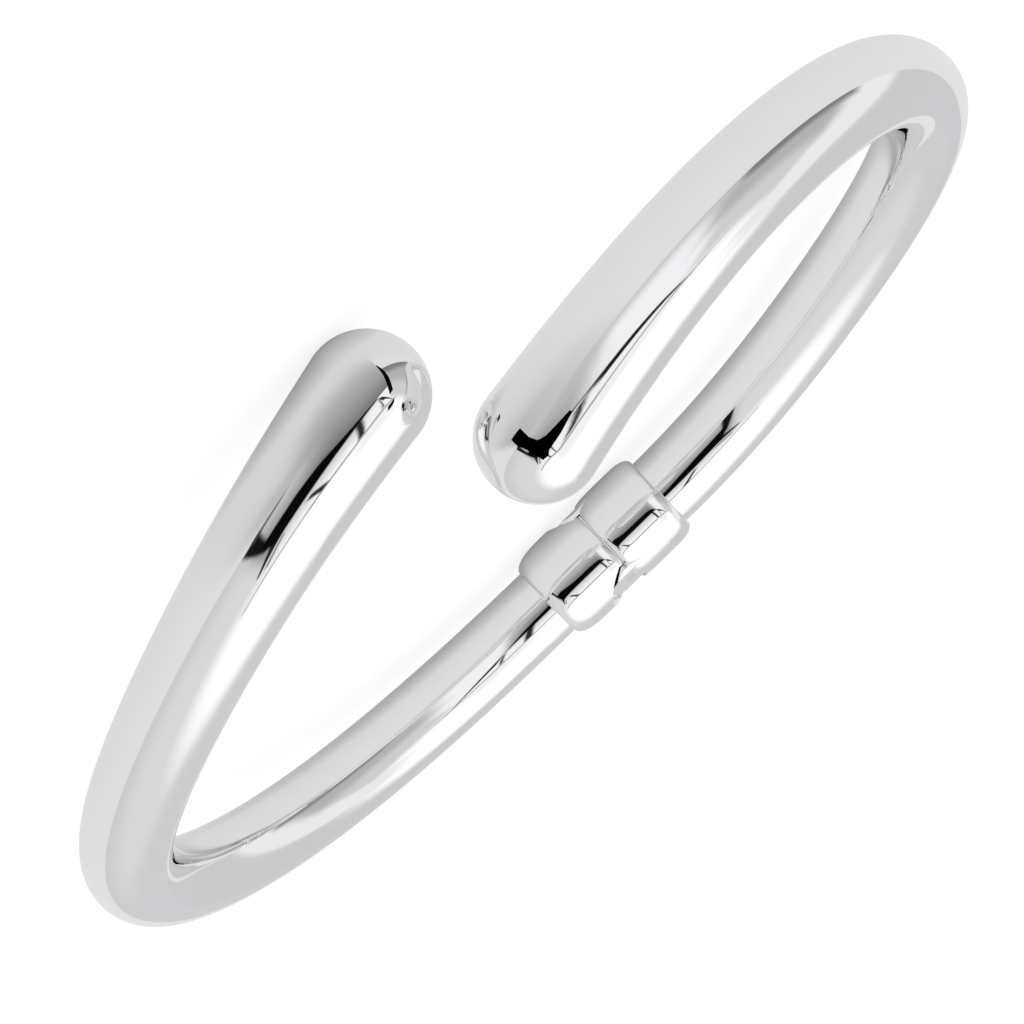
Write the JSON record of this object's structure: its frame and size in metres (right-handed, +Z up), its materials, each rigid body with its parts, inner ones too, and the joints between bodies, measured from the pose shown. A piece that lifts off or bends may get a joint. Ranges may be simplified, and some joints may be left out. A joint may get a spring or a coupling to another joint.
{
  "type": "hinged bangle",
  "caption": "Polished bypass bangle: two round arms that swell to rounded ends and pass each other, joined by a sprung hinge in two short barrels.",
  "frame": {"origin": "on the surface it lies on, under the middle of its outline seen from above", "axes": "+X along the oval's long way, +Y from the hinge to the opening, +Z up from the surface; the ring leans back from it by its own rest"},
  "size_m": [0.0692, 0.0574, 0.0153],
  "materials": {
    "polished_silver": "mirror polished silver",
    "barrel_silver": "mirror polished silver",
    "pin_silver": "polished, filed flush"
  },
  "bodies": {
    "left_half": {"left_arm": "polished_silver", "tongue_barrel": "barrel_silver"},
    "right_half": {"right_arm": "polished_silver", "fork_barrel": "barrel_silver", "hinge_pin": "pin_silver"}
  },
  "joints": [
    {"name": "hinge", "type": "hinge", "parent": "left_half", "child": "right_half", "pos_m": [0.0005, -0.0255, 0.0032], "axis": [0, 0.0908, -0.9959], "range_deg": [0, 45], "stiffness_Nm_per_rad": 0.06, "springref_deg": -11.46}
  ]
}
